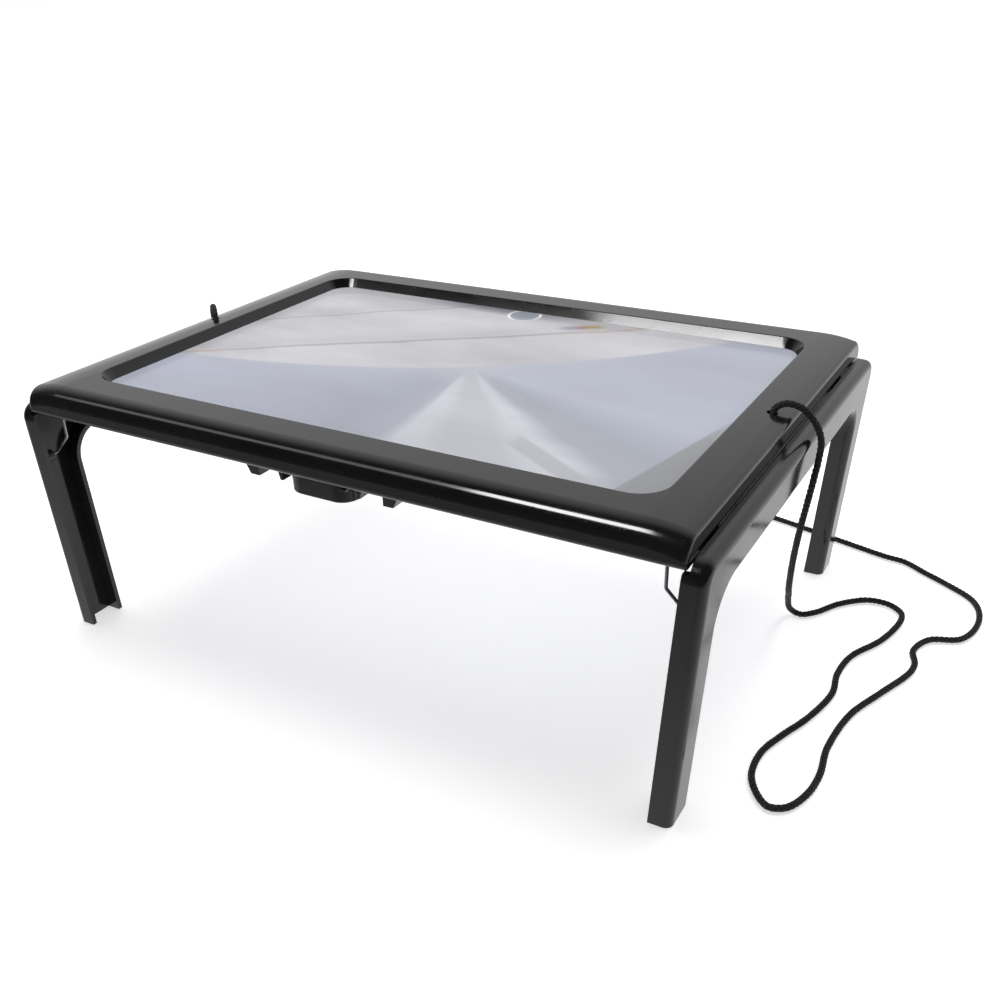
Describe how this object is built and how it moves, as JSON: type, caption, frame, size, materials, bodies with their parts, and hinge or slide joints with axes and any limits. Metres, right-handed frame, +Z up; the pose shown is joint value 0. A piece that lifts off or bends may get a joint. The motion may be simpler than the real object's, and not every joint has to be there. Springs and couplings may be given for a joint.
{
  "type": "low vision magnifier",
  "caption": "Hands-free full-page Fresnel magnifier: a lens in a hollow rim on two fold-under leg frames, with lamps and a neck cord.",
  "frame": {"origin": "on the table plane the feet stand on, under the middle of the lens window", "axes": "+Z up, +X to the user's right along the rim's long side, -Y towards the user (the battery housing side)"},
  "size_m": [0.3733, 0.2444, 0.1171],
  "materials": {
    "gloss_black": "gloss",
    "lens_clear": "gloss",
    "steel": "satin",
    "stay_wire": "satin",
    "cell_steel": "satin",
    "switch_black": "matte",
    "board": "satin",
    "lamp_clear": "gloss",
    "wire_red": "satin",
    "wire_black": "satin",
    "cord": "braided",
    "stopper": "satin"
  },
  "bodies": {
    "rim": {"top_bezel": "gloss_black", "bottom_shell": "gloss_black", "fresnel_lens": "lens_clear", "left_hinge_pins": "steel", "right_hinge_pins": "steel", "case_screws": "steel", "cover_screw": "steel", "battery_cover": "gloss_black", "button_cells": "cell_steel", "positive_contact": "cell_steel", "negative_contact": "cell_steel", "switch_body": "switch_black", "left_lamp_board": "board", "right_lamp_board": "board", "lamps": "lamp_clear", "positive_wire": "wire_red", "negative_wire": "wire_black", "neck_cord": "cord", "cord_stoppers": "stopper"},
    "left_leg": {"left_leg_frame": "gloss_black"},
    "right_leg": {"right_leg_frame": "gloss_black"},
    "left_stay_pair": {"left_stays": "stay_wire"},
    "right_stay_pair": {"right_stays": "stay_wire"},
    "switch_slider": {"switch_knob": "switch_black"}
  },
  "joints": [
    {"name": "right_leg_fold", "type": "hinge", "parent": "rim", "child": "right_leg", "pos_m": [0.139, 0, 0.098], "axis": [0, 1, 0], "range_deg": [0, 86.4]},
    {"name": "left_leg_fold", "type": "hinge", "parent": "rim", "child": "left_leg", "pos_m": [-0.139, 0, 0.098], "axis": [0, -1, 0], "range_deg": [0, 86.4]},
    {"name": "right_stay_turn", "type": "hinge", "parent": "right_leg", "child": "right_stay_pair", "pos_m": [0.141, 0, 0.08], "axis": [0, -1, 0], "range_deg": [0, 135.5]},
    {"name": "left_stay_turn", "type": "hinge", "parent": "left_leg", "child": "left_stay_pair", "pos_m": [-0.141, 0, 0.08], "axis": [0, 1, 0], "range_deg": [0, 135.5]},
    {"name": "switch_slide", "type": "slide", "parent": "rim", "child": "switch_slider", "axis": [0, 1, 0], "range_m": [0, 0.002]}
  ],
  "couplings": [
    {"joint": "right_stay_turn", "follows": "right_leg_fold", "ratio": 1.568},
    {"joint": "left_stay_turn", "follows": "left_leg_fold", "ratio": 1.568}
  ]
}
